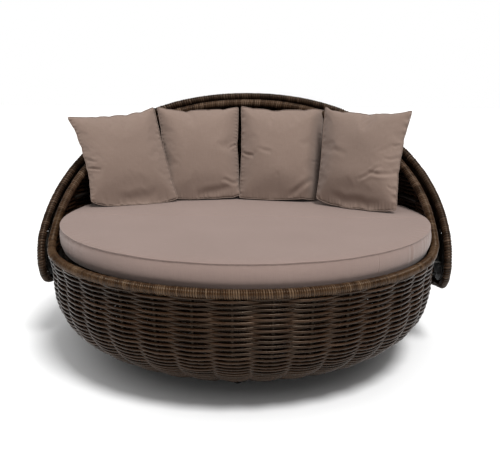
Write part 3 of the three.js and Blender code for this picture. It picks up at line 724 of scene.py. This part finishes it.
def build_mattress():
    r = np.random.default_rng(5)
    prof = [(0, 523.6), (300, 523.6), (600, 523.6), (780, 523.6), (815, 523.8), (829, 525.0), (837, 528.2), (841.5, 533.5), (844, 541),
            (847, 549), (850.5, 557), (852.8, 566), (854.0, 576), (854.6, 586), (854.4, 596), (853.6, 605), (852.2, 613), (850.4, 620),
            (848.9, 625), (848.2, 628.2), (848.6, 630.0), (850.6, 631.0), (852.0, 632.4), (851.6, 634.2), (849.8, 635.2), (847.4, 634.8),
            (845.6, 634.9), (843.0, 635.6), (838.5, 637.0), (832, None), (822, None), (808, None), (790, None), (765, None), (730, None), (685, None),
            (630, None), (565, None), (490, None), (405, None), (315, None), (220, None), (120, None)]
    prof = [(a, float(top_z(np.array(a))) if b is None else b) for a, b in prof]
    th = np.arange(720) * 2 * np.pi / 720
    extra = 39.7 * D + np.array([-2.4, -1.6, -0.9, 0.9, 1.6, 2.4]) / 853.0 * 1.6
    th = np.unique(np.concatenate([th, extra, [39.7 * D]]))
    th = th[np.concatenate([[True], np.diff(th) > 1e-6])]
    n = len(th)
    pr = np.array(prof[1:])
    R = np.repeat(pr[:, :1], n, 1)
    Z = np.repeat(pr[:, 1:], n, 1)
    # folds in the band, strongest at the right-hand side
    zz = pr[:, 1]
    band = np.exp(-(((zz - 588) / 30.0) ** 4)) * (pr[:, 0] > 838)
    near = np.exp(-(((zz - 622) / 9.0) ** 2)) * (pr[:, 0] > 838)
    below = np.exp(-(((zz - 552) / 10.0) ** 2)) * (pr[:, 0] > 838)
    fold = np.zeros(n)
    for c in list(r.uniform(52, 104, 13)) + list(r.uniform(-110, -48, 7)) + list(r.uniform(-40, 40, 7)):
        wd = r.uniform(0.45, 1.0)
        dep = r.uniform(0.9, 2.6) * (1.0 if c > 50 else 0.6 if c < -48 else 0.35)
        d = (th / D - c + 180) % 360 - 180
        fold += -dep * np.exp(-((d / wd) ** 2)) + 0.5 * dep * (np.exp(-(((d - 1.5 * wd) / wd) ** 2)) + np.exp(-(((d + 1.5 * wd) / wd) ** 2)))
    pucker = np.zeros(n)
    for k in range(46, 190, 6):
        pucker += r.normal(0, 0.12) * np.cos(k * th + r.uniform(0, 6.28))
    slow = wobble(r, th, 0.9, (3, 5, 7, 11, 16))
    R += band[:, None] * (fold + slow)[None, :] + near[:, None] * (pucker + 0.25 * fold)[None, :] + below[:, None] * 0.6 * pucker[None, :]
    # closing seam of the cover, upright in the band
    ds = (th - 39.7 * D) * 853.0
    groove = -1.7 * np.exp(-((ds / 1.6) ** 2)) + 0.6 * np.exp(-(((np.abs(ds) - 3.8) / 1.8) ** 2))
    R += (band > 0.3)[:, None] * groove[None, :]
    # the sewn edge wavers a little and the top swells softly
    lip = np.exp(-(((pr[:, 0] - 850) / 5.0) ** 2)) * (zz > 626)
    Z += lip[:, None] * wobble(r, th, 0.55, (4, 9, 15, 23, 38))[None, :]
    inner_ = (zz > 634.5) & (pr[:, 0] < 846)
    X_, Y_ = R * np.sin(th)[None, :], -R * np.cos(th)[None, :]
    swell = np.zeros_like(R)
    for _ in range(9):
        kx, ky = r.normal(0, 1 / 190.0, 2)
        swell += r.normal(0, 0.42) * np.cos(kx * X_ + ky * Y_ + r.uniform(0, 6.28))
    Z += inner_[:, None] * swell
    edge_p = np.exp(-(((pr[:, 0] - 828) / 16.0) ** 2)) * inner_
    Z += edge_p[:, None] * pucker[None, :] * 1.1
    V = np.stack([MX + R * np.sin(th)[None, :], -R * np.cos(th)[None, :], Z], -1)
    m = len(pr)
    W = np.zeros_like(V)
    flat = (pr[:, 0] < 846) & ((zz > 634) | (zz < 530))
    W[..., 0] = np.where(flat[:, None], V[..., 0], th[None, :] * 851.0)
    W[..., 1] = np.where(flat[:, None], V[..., 1], Z)
    i = np.arange(m - 1)[:, None]
    j = np.arange(n)[None, :]
    Q = np.stack([i * n + j, i * n + (j + 1) % n, (i + 1) * n + (j + 1) % n, (i + 1) * n + j], -1).reshape(-1, 4)
    V = np.vstack([V.reshape(-1, 3), (MX, 0, 523.6), (MX, 0, float(top_z(np.array(0.0))) + float(swell[-1].mean()))])
    W = np.vstack([W.reshape(-1, 3), (MX, 0, 0), (MX, 0, 0)])
    j = np.arange(n)
    cb, ct, e = m * n, m * n + 1, (m - 1) * n
    T = np.vstack([np.stack([np.full(n, cb), (j + 1) % n, j], -1), np.stack([np.full(n, ct), e + j, e + (j + 1) % n], -1)])
    return new_mesh("mattress_cover", as_row(V), Q, T, None, W / 1000.0)


mattress = build_mattress()
bound("mattress", mattress, MATTRESS, "base", "mattress_fabric", "mattress")


def mattress_height(x, y):
    """Height of the finished cover at a point of its top, found on the mesh itself."""
    p = as_row([x, y, 700.0])
    hit, loc, _n, _i = mattress.ray_cast(Vector(p), Vector((0, 0, -1)))
    return loc.z * 1000 if hit else MATT_TOP


def build_middle_seam():
    """The joint across the mattress's top: two turned edges with the stitch line sunk between them."""
    r = np.random.default_rng(8)
    X = np.linspace(-838, 838, 420)
    ys = np.array([-15, -11, -8, -5.5, -3.6, -2.2, -1.2, 0, 1.2, 2.2, 3.6, 5.5, 8, 11, 15])
    dz = np.array([-1.6, -0.15, 0.25, 0.62, 0.85, 0.55, -0.3, -1.0, -0.3, 0.55, 0.85, 0.62, 0.25, -0.15, -1.6])
    mid = 1.6 * np.sin(X / 240.0) + 0.8 * np.sin(X / 91.0 + 1)
    puck = np.interp(X, np.arange(-900, 901, 9), r.normal(0, 0.22, 201))
    V = []
    for x, m_, p in zip(X, mid, puck):
        base = mattress_height(x + MX, m_)
        for y, d in zip(ys, dz):
            V.append((x + MX, y + m_, base + d + p * math.exp(-((abs(y) - 6) / 4.0) ** 2)))
    top = np.array(V).reshape(len(X), len(ys), 3)
    bot = top.copy()
    bot[..., 2] -= 4.0
    n, k = len(X), len(ys)
    A = np.vstack([top.reshape(-1, 3), bot.reshape(-1, 3)])
    i = np.arange(n - 1)[:, None]
    j = np.arange(k - 1)[None, :]
    q = np.stack([i * k + j, (i + 1) * k + j, (i + 1) * k + j + 1, i * k + j + 1], -1).reshape(-1, 4)
    o = n * k
    sides = []
    for a in range(n - 1):
        sides += [[a * k, o + a * k, o + (a + 1) * k, (a + 1) * k], [a * k + k - 1, (a + 1) * k + k - 1, o + (a + 1) * k + k - 1, o + a * k + k - 1]]
    for b in range(k - 1):
        sides += [[b, b + 1, o + b + 1, o + b], [(n - 1) * k + b, o + (n - 1) * k + b, o + (n - 1) * k + b + 1, (n - 1) * k + b + 1]]
    Q = np.vstack([q, q[:, ::-1] + o, np.array(sides)])
    W = A.copy()
    return new_mesh("mattress_middle_seam", as_row(A), Q, (), None, W / 1000.0)


seam = build_middle_seam()
bound("seam", seam, MATTRESS, "base", "mattress_fabric")

# ------------------------------------------------------------------ pillows
# middle, turn, lean and roll of each pillow's plane (mm, degrees), then its corners on that plane: top left, top right, bottom right, bottom left
PILLOWS = [
    ((-623, 300, 882), (26, -18, -1.5), [(-249, 215), (199, 239), (258, -239), (-188, -214)], 122, 3),
    ((-246, 473, 889), (9, -18, -1.0), [(-218, 237), (212, 239), (197, -234), (-189, -237)], 132, 5),
    ((171, 476, 888), (-8, -20, -1.0), [(-218, 245), (221, 240), (201, -232), (-205, -245)], 132, 9),
    ((577, 265, 893), (-32, -18, 0.5), [(-258, 240), (214, 250), (225, -238), (-210, -235)], 132, 14),
]
# how much of the blown form's draw each edge keeps: left, right, top, bottom
DRAW_IN = [(0.55, 0.16, 0.42, -1.00), (0.30, 0.16, 0.44, -0.45), (0.16, 0.04, 0.36, -0.30), (0.10, 0.42, 0.48, -0.60)]
# how far out towards the ears each top edge hangs
FULL_TOP = [0.6, 0.8, 0.3, 2.2]
# how strongly the seams are gathered: left, right, top, bottom
GATHER = [(2.2, 1.0, 0.7, 1.3), (1.3, 1.5, 0.7, 1.3), (1.7, 1.2, 0.7, 1.3), (1.0, 2.6, 0.8, 1.4)]
# how far (mm) the seam of each side has rolled to the back: left, right
ROLLED = [(0, 0), (0, 10), (0, 66), (0, 6)]


def rot(axis, a):
    c, s = math.cos(a * D), math.sin(a * D)
    return np.array({"x": [[1, 0, 0], [0, c, -s], [0, s, c]], "y": [[c, 0, s], [0, 1, 0], [-s, 0, c]], "z": [[c, -s, 0], [s, c, 0], [0, 0, 1]]}[axis])


def flat_cover(n, size, r):
    """Two square sheets joined round their edge: points, faces, and each point's place (u, v) in the sheet."""
    g = np.linspace(-1, 1, n + 1)
    pts, uv, layer = [], [], []
    idx = {}
    for side in (0, 1):
        for i in range(n + 1):
            for j in range(n + 1):
                edge = i in (0, n) or j in (0, n)
                if side == 1 and edge:
                    idx[(1, i, j)] = idx[(0, i, j)]
                    continue
                idx[(side, i, j)] = len(pts)
                y = 0.0 if edge else (-0.004 if side == 0 else 0.004) + r.normal(0, 0.0006)
                pts.append((g[i] * size / 2, y, g[j] * size / 2))
                uv.append((g[i], g[j]))
                layer.append(0 if edge else (-1 if side == 0 else 1))
    faces = []
    for i in range(n):
        for j in range(n):
            f = [(i, j), (i + 1, j), (i + 1, j + 1), (i, j + 1)]
            faces.append([idx[(0, a, b)] for a, b in f])
            faces.append([idx[(1, a, b)] for a, b in reversed(f)])
    edge = [idx[(0, i, 0)] for i in range(n)] + [idx[(0, n, j)] for j in range(n)] + [idx[(0, n - i, n)] for i in range(n)] + [idx[(0, 0, n - j)] for j in range(n)]
    return np.array(pts), faces, np.array(uv), np.array(layer), edge


def inflate(name, seed, n=46, size=0.46):
    r = np.random.default_rng(seed)
    pts, faces, uv, layer, edge = flat_cover(n, size, r)
    me = bpy.data.meshes.new(name)
    me.from_pydata([tuple(p) for p in pts], [], faces)
    ob = bpy.data.objects.new(name, me)
    scene.collection.objects.link(ob)
    md = ob.modifiers.new("cloth", "CLOTH")
    st = md.settings
    st.quality = 8
    st.mass = 0.12
    st.tension_stiffness = 28
    st.compression_stiffness = 28
    st.shear_stiffness = 10
    st.bending_stiffness = 0.35
    st.tension_damping = st.compression_damping = 12
    st.shear_damping = 8
    st.air_damping = 2.0
    st.use_pressure = True
    st.uniform_pressure_force = 9.0
    st.effector_weights.gravity = 0.0
    md.collision_settings.use_collision = False
    md.point_cache.frame_start, md.point_cache.frame_end = 1, 40
    for f in range(1, 33):
        scene.frame_set(f)
    dg = bpy.context.evaluated_depsgraph_get()
    ev = ob.evaluated_get(dg)
    em = ev.to_mesh()
    out = np.empty(len(em.vertices) * 3, np.float32)
    em.vertices.foreach_get("co", out)
    ev.to_mesh_clear()
    out = out.reshape(-1, 3).astype(float)
    scene.frame_set(1)
    bpy.data.objects.remove(ob)
    bpy.data.meshes.remove(me)
    return out, faces, uv, layer, edge


# short creases on each pillow's front: from (u, v) to (u, v), half width and depth in mm
CREASES = {
    0: [(-0.98, -0.22, -0.62, -0.30, 7, 3.6), (-0.98, -0.02, -0.66, -0.14, 8, 2.2), (-0.4, -0.88, 0.55, -0.80, 16, 4.0)],
    1: [(0.98, 0.10, 0.74, 0.02, 7, 2.6), (-0.2, -0.90, 0.85, -0.82, 16, 4.0), (0.5, -0.62, 0.95, -0.78, 10, 3.0)],
    2: [(-0.98, -0.02, -0.62, -0.16, 8, 3.2), (-0.55, 0.05, -0.15, -0.10, 10, 1.8), (0.25, -0.95, 0.92, -0.62, 14, 4.2), (0.98, -0.20, 0.80, -0.22, 7, 2.0)],
    3: [(0.98, -0.30, 0.30, -0.36, 9, 3.8), (0.60, -0.18, 0.10, -0.52, 8, 2.6), (0.98, 0.02, 0.62, -0.06, 8, 2.2), (0.98, 0.30, 0.75, 0.22, 7, 1.6),
        (0.98, -0.60, 0.74, -0.56, 7, 1.6), (-0.6, -0.86, 0.7, -0.92, 16, 4.2), (-0.9, 0.05, -0.2, -0.02, 14, 1.8)],
}


def drape(k, W, r):
    """How far the cover is pushed back (mm) at each point by its creases and by the gathers along its seams."""
    u, v, front = W[:, 0] / 0.215, W[:, 1] / 0.232, np.clip(-W[:, 2], 0, 1)
    push = np.zeros(len(W))
    for u0, v0, u1, v1, wd, dep in CREASES[k]:
        p0 = np.array((u0, v0)) * (215, 232)
        p1 = np.array((u1, v1)) * (215, 232)
        q = np.stack([u * 215, v * 232], -1) - p0
        L = np.linalg.norm(p1 - p0)
        d = (p1 - p0) / L
        t_ = q @ d / L
        away = q @ np.array((-d[1], d[0])) + 3.5 * np.sin(3.2 * t_ + k) + 1.2 * np.sin(9.0 * t_ + 2 * k)
        along = np.clip(1 - np.abs(2 * t_ - 1) ** 3, 0, None) * ((t_ > 0) & (t_ < 1))
        amount = np.exp(-((away / wd) ** 2)) - 0.45 * np.exp(-(((away - 1.7 * wd) / wd) ** 2)) - 0.35 * np.exp(-(((away + 1.7 * wd) / wd) ** 2))
        push += (1.55 if wd < 12 else 1.3) * dep * amount * along * front
    for c, along, gain in ((-u, v * 232, GATHER[k][0]), (u, v * 232, GATHER[k][1]), (v, u * 215, GATHER[k][2]), (-v, u * 215, GATHER[k][3])):
        near = gain * np.exp(-(((1 - c) * 220 / 20.0) ** 2)) * np.clip((1 - c) * 220 / 4.0, 0, 1)
        wave = np.zeros(len(W))
        for _ in range(12):
            wave += r.normal(0, 0.34) * np.cos(along * 2 * np.pi / r.uniform(16, 52) + r.uniform(0, 6.28))
        push += wave * near * np.sign(W[:, 2]) * -1.0
    soft = np.zeros(len(W))
    for _ in range(8):
        kx, ky = r.normal(0, 1 / 62.0, 2)
        soft += r.normal(0, 0.75) * np.cos(kx * u * 215 + ky * v * 232 + r.uniform(0, 6.28))
    return push + soft * (1 - u**4) * (1 - v**4)


def make_pillow(k, spec):
    centre, (yaw, lean, roll), corners, thick, seed = spec
    out, faces, uv, layer, edge = inflate("pillow_form_%d" % (k + 1), seed)
    r = np.random.default_rng(seed + 50)
    n = int(round(math.sqrt((layer <= 0).sum()))) - 1
    # corner-to-corner size to one
    cs = [out[np.argmin(np.abs(uv[:, 0] - a) + np.abs(uv[:, 1] - b))] for a, b in ((-1, 1), (1, 1), (1, -1), (-1, -1))]
    hx_ = (cs[1][0] - cs[0][0] + cs[2][0] - cs[3][0]) / 4
    hz_ = (cs[0][2] - cs[3][2] + cs[1][2] - cs[2][2]) / 4
    u, v, w = out[:, 0] / hx_, out[:, 2] / hz_, out[:, 1]
    w = w * (thick / 1000.0 / (w.max() - w.min()))
    # the cover is cut fuller than the sheet the form was blown from, so its edges draw in less
    left, right, top, bottom = DRAW_IN[k]
    u = uv[:, 0] + (left + (right - left) * (uv[:, 0] + 1) / 2) * (u - uv[:, 0])
    v = uv[:, 1] + (bottom + (top - bottom) * (uv[:, 1] + 1) / 2) * (v - uv[:, 1]) * (1 + np.where(uv[:, 1] > 0, FULL_TOP[k], 0.8) * uv[:, 0] ** 2)
    c = np.array(corners, float)
    a, b = (u + 1) / 2, (v + 1) / 2
    flat = (a * b)[:, None] * c[1] + ((1 - a) * b)[:, None] * c[0] + (a * (1 - b))[:, None] * c[2] + ((1 - a) * (1 - b))[:, None] * c[3]
    w = w * 1000.0
    # the ears turn a little towards the front or back
    ear = np.clip(np.abs(u), 0, 1) ** 6 * np.clip(np.abs(v), 0, 1) ** 6
    w += ear * np.where(v > 0, r.normal(4, 5), r.normal(-2, 4))
    # a side seam that has rolled to the back leaves a full cheek in front of it
    for turn_, edge_ in zip(ROLLED[k], (-uv[:, 0], uv[:, 0])):
        w += turn_ * np.clip((edge_ - 0.68) / 0.32, 0, 1) ** 1.8
    # seated: belly heavier towards the bottom
    w *= 1 + 0.10 * np.clip(-v, -1, 1) * (1 - np.clip(np.abs(v), 0, 1) ** 4)
    M = rot("z", yaw) @ rot("x", lean) @ rot("y", roll)
    P = np.stack([flat[:, 0], w, flat[:, 1]], -1) @ M.T + np.array(centre)
    P[:, 2] -= 0.42 * np.abs(w) * np.clip(-v, 0, 1) ** 1.3 * (P[:, 2] > MATT_TOP)
    # it rests on the mattress: the underside flattens and spreads
    floor_ = MATT_TOP + 2.0
    low_ = np.clip(floor_ + 16 - P[:, 2], 0, None)
    press = np.clip(low_ - 16, 0, None)
    P[:, 2] = np.where(P[:, 2] < floor_ + 16, floor_ + 16 * np.exp(-low_ / 16), P[:, 2])
    fwd = -M[:, 1] * np.sign(-(P - np.array(centre)) @ M[:, 1])[:, None]
    P += fwd * (press * 0.25)[:, None] * (1, 1, 0)
    W = np.stack([uv[:, 0] * 0.215, uv[:, 1] * 0.232, layer], -1)
    F = np.array(faces)
    ob = new_mesh("pillow_form", as_row(P), F, (), None, W)
    md = ob.modifiers.new("sub", "SUBSURF")
    md.levels = md.render_levels = 2
    dg = bpy.context.evaluated_depsgraph_get()
    me = bpy.data.meshes.new_from_object(ob.evaluated_get(dg))
    bpy.data.objects.remove(ob)
    # the seam round the edge, sewn as a fine turned ridge
    E = as_row(P[edge])
    Es = [E]
    for _ in range(2):
        e_ = Es[-1]
        Es.append((np.roll(e_, 1, 0) + 6 * e_ + np.roll(e_, -1, 0)) / 8)
    E = Es[-1]
    m = len(E)
    E2 = np.empty((2 * m, 3))
    E2[0::2], E2[1::2] = E, (E + np.roll(E, -1, 0)) / 2
    tan = unit(np.roll(E2, -1, 0) - np.roll(E2, 1, 0))
    N = np.tile(M[:, 1], (2 * m, 1))
    N = unit(N - (N * tan).sum(1, keepdims=True) * tan)
    B = np.cross(tan, N)
    sides = 7
    ang = 2 * np.pi * np.arange(sides) / sides
    pulse = 1 + 0.10 * np.sin(np.arange(2 * m) * 2.1)
    ring = E2[:, None] + (0.0021 * pulse)[:, None, None] * (np.cos(ang)[None, :, None] * N[:, None] + np.sin(ang)[None, :, None] * B[:, None])
    co = np.empty(len(me.vertices) * 3, np.float32)
    me.vertices.foreach_get("co", co)
    co = co.reshape(-1, 3)
    wv = np.empty(len(me.vertices) * 3, np.float32)
    me.attributes["weave"].data.foreach_get("vector", wv)
    wv = wv.reshape(-1, 3)
    co += as_row(drape(k, wv, r)[:, None] * M[:, 1]) - as_row(np.zeros((1, 3)))
    wv[:, 0] += k * 0.013
    wv[:, 2] = 0
    quads = np.empty(len(me.polygons) * 4, np.int32)
    me.loops.foreach_get("vertex_index", quads)
    quads = quads.reshape(-1, 4)
    i = np.arange(2 * m)[:, None]
    j = np.arange(sides)[None, :]
    q = np.stack([i * sides + j, i * sides + (j + 1) % sides, ((i + 1) % (2 * m)) * sides + (j + 1) % sides, ((i + 1) % (2 * m)) * sides + j], -1).reshape(-1, 4)
    swv = np.repeat(np.stack([np.linspace(0, 1.7, 2 * m), np.zeros(2 * m), np.zeros(2 * m)], -1), sides, 0)
    full = new_mesh("pillow_cover_%d" % (k + 1), np.vstack([co, ring.reshape(-1, 3)]), np.vstack([quads, q + len(co)]), (), None, np.vstack([wv, swv]))
    bpy.data.meshes.remove(me)
    return full


pillows = []
for k, spec in enumerate(PILLOWS):
    ob = make_pillow(k, spec)
    bound("pillow", ob, PILLOW, "base", "pillow_fabric", "pillow_%d" % (k + 1))
    pillows.append(ob)
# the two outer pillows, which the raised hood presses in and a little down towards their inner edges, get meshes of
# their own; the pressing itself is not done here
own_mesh(pillows[0])
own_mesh(pillows[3])

# ------------------------------------------------------------------ CAD pieces that stay, with their finishes
for name, ob in nodes.items():
    m = None
    if name.startswith(("base_frame", "backrest_ribs", "hood_rib", "pivot_bracket", "hood_pivot_plate")):
        m = FRAME
    elif name.startswith("deck_slat"):
        m = SLAT
    elif name.startswith(("pivot_bolt", "spacer_bush", "stop_pin", "cap_nut")):
        m = STEEL
    elif name.startswith(("foot_", "friction_washer")):
        m = PLASTIC
    if m is not None:
        for s in ob.material_slots:
            s.material = m

# ------------------------------------------------------------------ floor and light
def make_floor():
    n = 24
    g = np.linspace(-14, 14, n)
    V = np.array([(x, y + 4, 0.0) for y in g for x in g])
    Q = [(j * n + i, j * n + i + 1, (j + 1) * n + i + 1, (j + 1) * n + i) for j in range(n - 1) for i in range(n - 1)]
    ob = new_mesh("studio_floor", V, Q)
    t = Tree("pale_floor")
    c = t.ramp(t.noise(1.5, 2.0), [(0.3, (0.81, 0.81, 0.81)), (0.7, (0.84, 0.84, 0.84))])
    ob.data.materials.append(t.finish(c, None, None, Roughness=0.9, Specular_IOR_Level=0.1))


make_floor()


def sky(name, azimuth, height, spread, power, shine=True):
    """Even light from a wide patch of sky; azimuth 0 is the front, positive towards the right."""
    ld = bpy.data.lights.new(name, "SUN")
    ld.angle, ld.energy = spread * D, power
    ob = bpy.data.objects.new(name, ld)
    ob.visible_glossy = shine
    scene.collection.objects.link(ob)
    a, e = azimuth * D, height * D
    way = Vector((math.sin(a) * math.cos(e), -math.cos(a) * math.cos(e), math.sin(e)))
    ob.rotation_euler = way.to_track_quat("Z", "Y").to_euler()
    return ob


sky("key_soft", 28, 60, 18, 2.9)
sky("top_soft", -20, 82, 100, 1.65, False)
sky("front_low", -6, 18, 50, 0.20, False)

world = scene.world or bpy.data.worlds.new("studio")
scene.world = world
world.use_nodes = True
wt = world.node_tree
wt.nodes.clear()
# the backdrop reads white, and lights the object more softly than that
w_out, w_path = wt.nodes.new("ShaderNodeOutputWorld"), wt.nodes.new("ShaderNodeLightPath")
w_soft, w_mix = wt.nodes.new("ShaderNodeMixShader"), wt.nodes.new("ShaderNodeMixShader")
for mix_, slot_, power in ((w_soft, 1, 0.26), (w_soft, 2, 0.10), (w_mix, 2, 1.0)):
    w_bg = wt.nodes.new("ShaderNodeBackground")
    w_bg.inputs["Color"].default_value = (1.0, 1.0, 1.0, 1.0)
    w_bg.inputs["Strength"].default_value = power
    wt.links.new(w_bg.outputs[0], mix_.inputs[slot_])
wt.links.new(w_path.outputs["Is Glossy Ray"], w_soft.inputs[0])
wt.links.new(w_path.outputs["Is Camera Ray"], w_mix.inputs[0])
wt.links.new(w_soft.outputs[0], w_mix.inputs[1])
wt.links.new(w_mix.outputs[0], w_out.inputs[0])
scene.view_settings.view_transform = "Standard"
scene.view_settings.look = "None"
